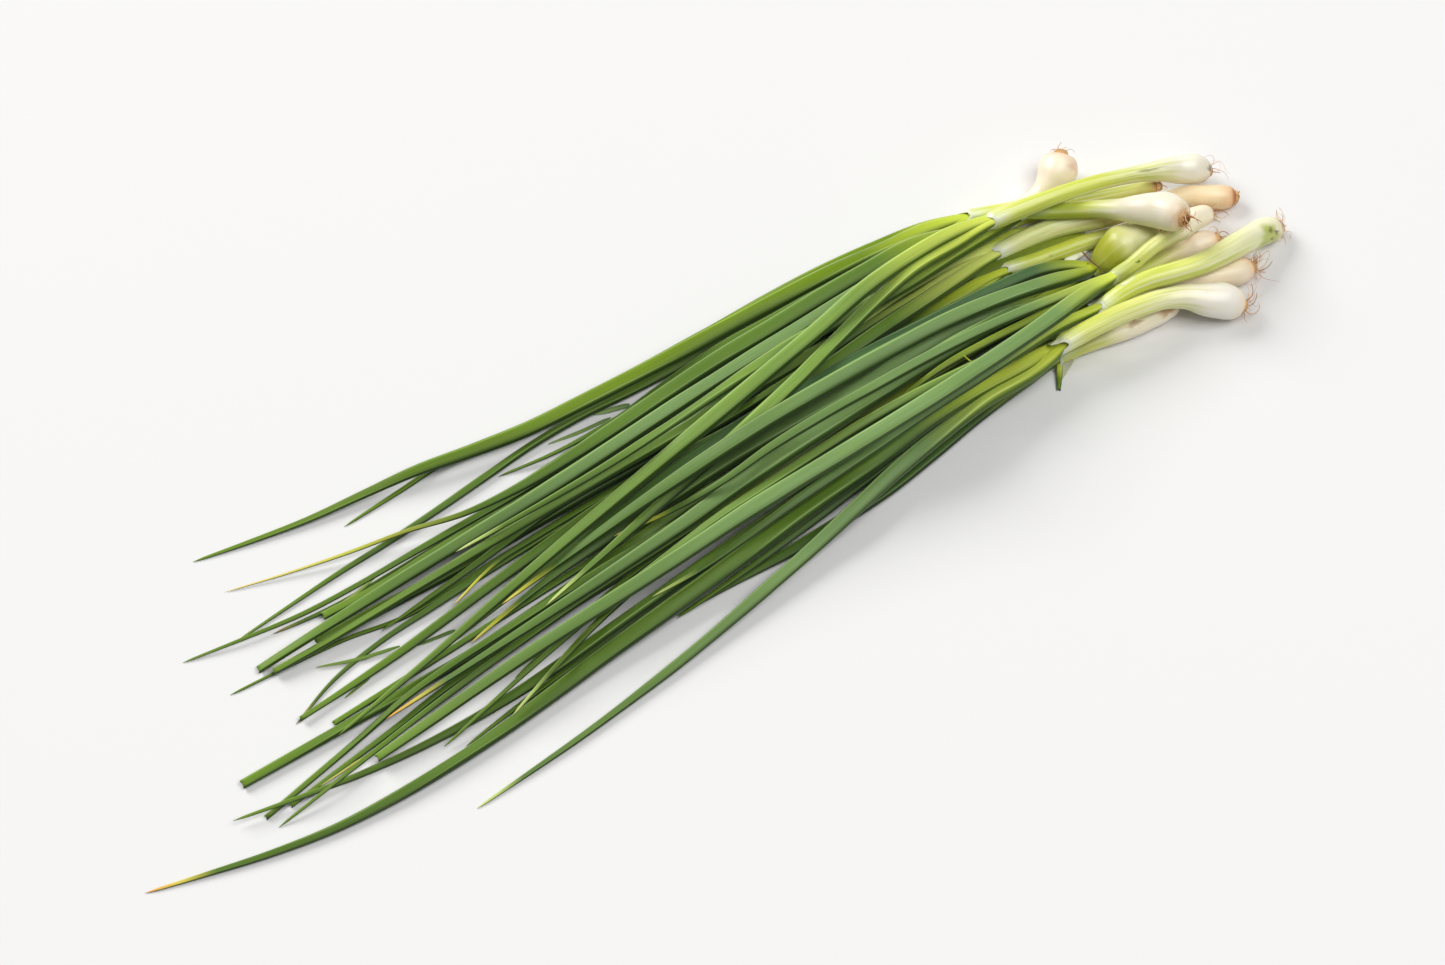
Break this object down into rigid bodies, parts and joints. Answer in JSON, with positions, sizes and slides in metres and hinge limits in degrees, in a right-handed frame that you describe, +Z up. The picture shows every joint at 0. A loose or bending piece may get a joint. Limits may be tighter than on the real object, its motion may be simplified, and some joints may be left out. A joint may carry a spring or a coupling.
{
  "type": "spring onion bunch",
  "caption": "Loose bunch of fresh spring onions with white bulbs, roots and long hollow green leaves, lying on its side to rest on a table.",
  "frame": {"origin": "middle of the bounding box, on the table that the bunch lies on", "axes": "+X along the bunch from the leaf tips towards the bulbs, +Z up from the table"},
  "size_m": [0.5546, 0.1578, 0.0407],
  "materials": {
    "bulb": "smooth, moist, slightly glossy",
    "leaf": "waxy matte",
    "root": "dry, fibrous"
  },
  "bodies": {
    "root": {"onion_01_bulb": "bulb", "onion_01_leaves": "leaf", "onion_01_roots": "root", "onion_02_bulb": "bulb", "onion_02_leaves": "leaf", "onion_02_roots": "root", "onion_03_bulb": "bulb", "onion_03_leaves": "leaf", "onion_03_roots": "root", "onion_04_bulb": "bulb", "onion_04_leaves": "leaf", "onion_04_roots": "root", "onion_05_bulb": "bulb", "onion_05_leaves": "leaf", "onion_05_roots": "root", "onion_06_bulb": "bulb", "onion_06_leaves": "leaf", "onion_06_roots": "root", "onion_07_bulb": "bulb", "onion_07_leaves": "leaf", "onion_07_roots": "root", "onion_08_bulb": "bulb", "onion_08_leaves": "leaf", "onion_08_roots": "root", "onion_09_bulb": "bulb", "onion_09_leaves": "leaf", "onion_09_roots": "root", "onion_10_bulb": "bulb", "onion_10_leaves": "leaf", "onion_10_roots": "root", "onion_11_bulb": "bulb", "onion_11_leaves": "leaf", "onion_11_roots": "root", "onion_12_bulb": "bulb", "onion_12_leaves": "leaf", "onion_12_roots": "root", "onion_13_bulb": "bulb", "onion_13_leaves": "leaf", "onion_13_roots": "root"}
  },
  "joints": []
}
